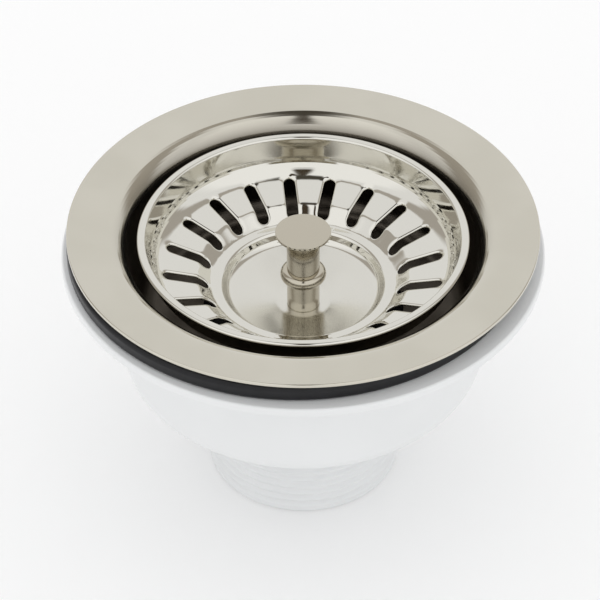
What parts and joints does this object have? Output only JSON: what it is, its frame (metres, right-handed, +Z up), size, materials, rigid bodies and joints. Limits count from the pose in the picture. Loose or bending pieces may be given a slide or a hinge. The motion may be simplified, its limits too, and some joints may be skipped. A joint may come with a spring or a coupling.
{
  "type": "kitchen sink drain",
  "caption": "Basket strainer waste: steel flanged dish with a lift-out slotted basket, rubber seals and a white plastic body with a threaded outlet.",
  "frame": {"origin": "middle of the outlet's lower end, where the drain stands upright", "axes": "+Z up along the drain's axis, towards the flange that lies on the sink"},
  "size_m": [0.116, 0.116, 0.0737],
  "materials": {
    "satin_steel": "satin stainless steel",
    "polished_steel": "mirror-polished stainless steel",
    "satin_nickel": "turned and nickel plated",
    "plain_steel": "turned steel",
    "black_rubber": "smooth moulded rubber",
    "white_plastic": "moulded white polypropylene, semi-gloss",
    "brass": "plain",
    "red_fibre": "vulcanised fibre"
  },
  "bodies": {
    "drain": {"top_flange": "satin_steel", "flange_gasket": "black_rubber", "deck_washer": "black_rubber", "waste_body": "white_plastic", "insert_nut": "brass", "hub_seal": "black_rubber", "fibre_washer": "red_fibre", "fixing_screw": "plain_steel"},
    "catch": {"catch_ring": "black_rubber"},
    "basket": {"basket_bowl": "polished_steel", "handle": "satin_nickel", "stem": "plain_steel", "basket_seal": "black_rubber", "seal_disc": "plain_steel", "spring_washer": "plain_steel", "stem_nut": "plain_steel"}
  },
  "joints": [
    {"name": "basket_lift", "type": "slide", "parent": "drain", "child": "catch", "axis": [0, 0, 1], "range_m": [0, 0.05]},
    {"name": "basket_turn", "type": "hinge", "parent": "catch", "child": "basket", "pos_m": [0, 0, 0.05], "axis": [0, 0, 1], "continuous": true}
  ]
}
